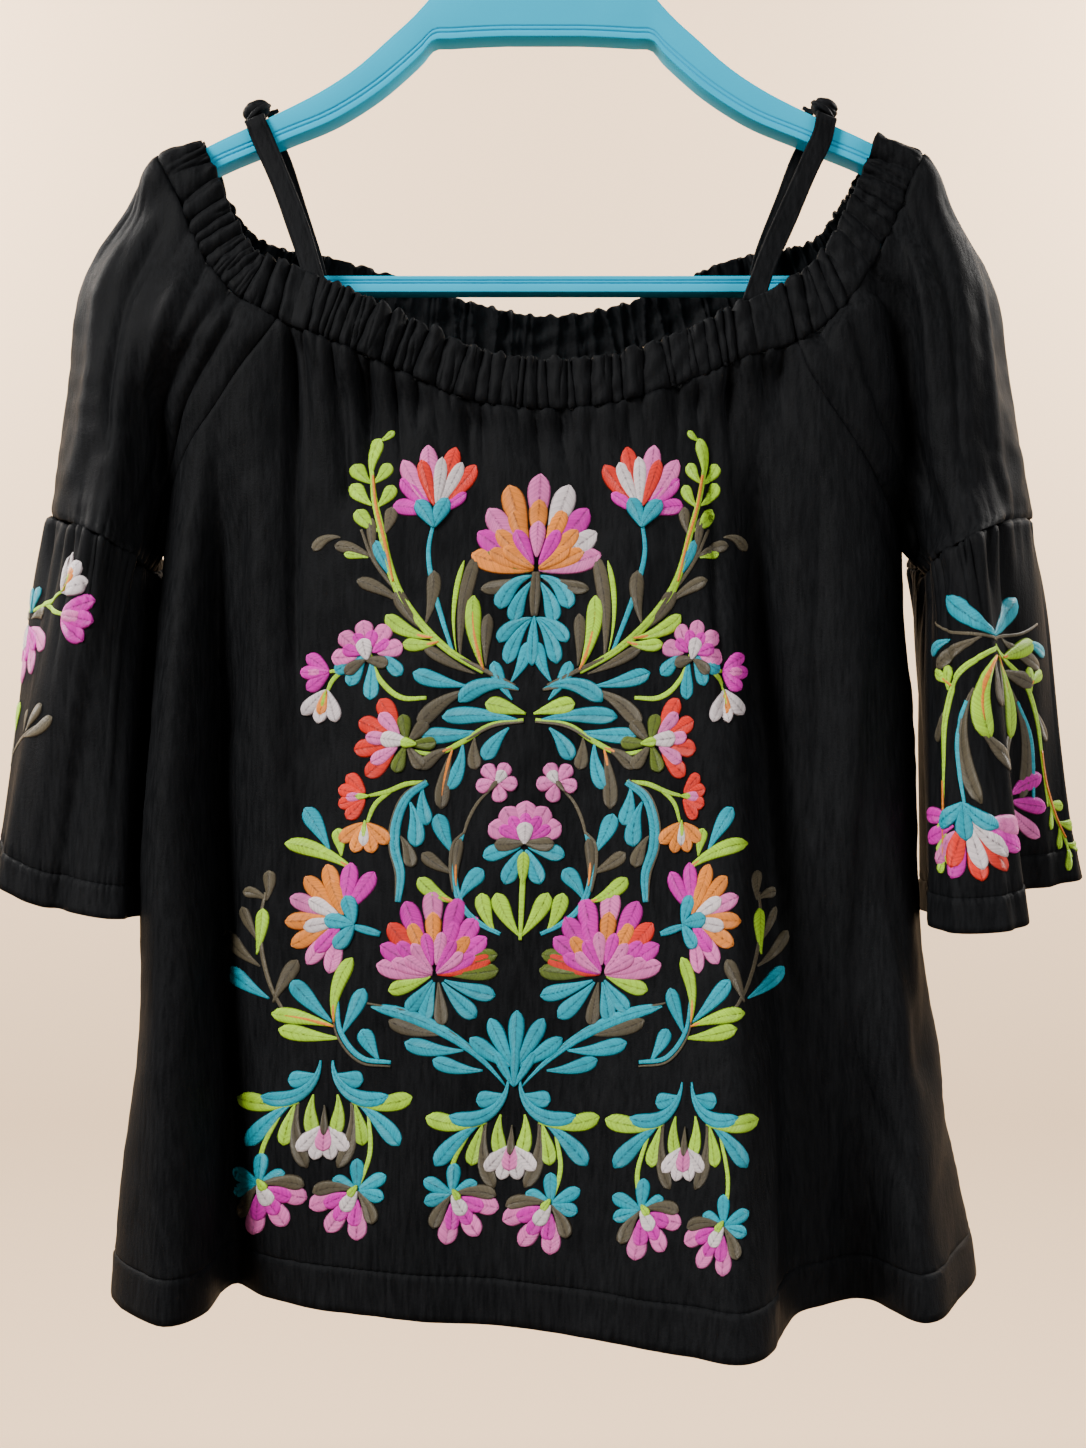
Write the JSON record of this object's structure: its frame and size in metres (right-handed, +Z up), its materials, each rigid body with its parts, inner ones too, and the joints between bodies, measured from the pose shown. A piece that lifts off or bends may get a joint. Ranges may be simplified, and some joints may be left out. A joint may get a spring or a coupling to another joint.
{
  "type": "peasant blouse on a hanger",
  "caption": "Black crepe peasant blouse with a gathered elastic neck, thin straps, flounced sleeves and bright floral embroidery, hung on a turquoise plastic hanger.",
  "frame": {"origin": "The top of the hook's crook, inside it, where the rail carries it", "axes": "+Z up, the blouse hanging down from the origin; -Y is the embroidered front; +X is to the right of someone facing the front"},
  "size_m": [0.5501, 0.1832, 0.7392],
  "materials": {
    "black_crepe": "soft crepe with a faint sheen",
    "hanger_plastic": "moulded, glossy"
  },
  "bodies": {
    "root": {"front": "black_crepe", "back": "black_crepe", "left_sleeve": "black_crepe", "right_sleeve": "black_crepe", "left_flounce": "black_crepe", "right_flounce": "black_crepe", "front_casing": "black_crepe", "back_casing": "black_crepe", "left_casing": "black_crepe", "right_casing": "black_crepe", "left_strap": "black_crepe", "right_strap": "black_crepe", "left_strap_knot": "black_crepe", "right_strap_knot": "black_crepe", "hanger_plate": "hanger_plastic", "hanger_arm_left": "hanger_plastic", "hanger_arm_right": "hanger_plastic", "hanger_bar": "hanger_plastic", "hanger_hook": "hanger_plastic"}
  },
  "joints": []
}
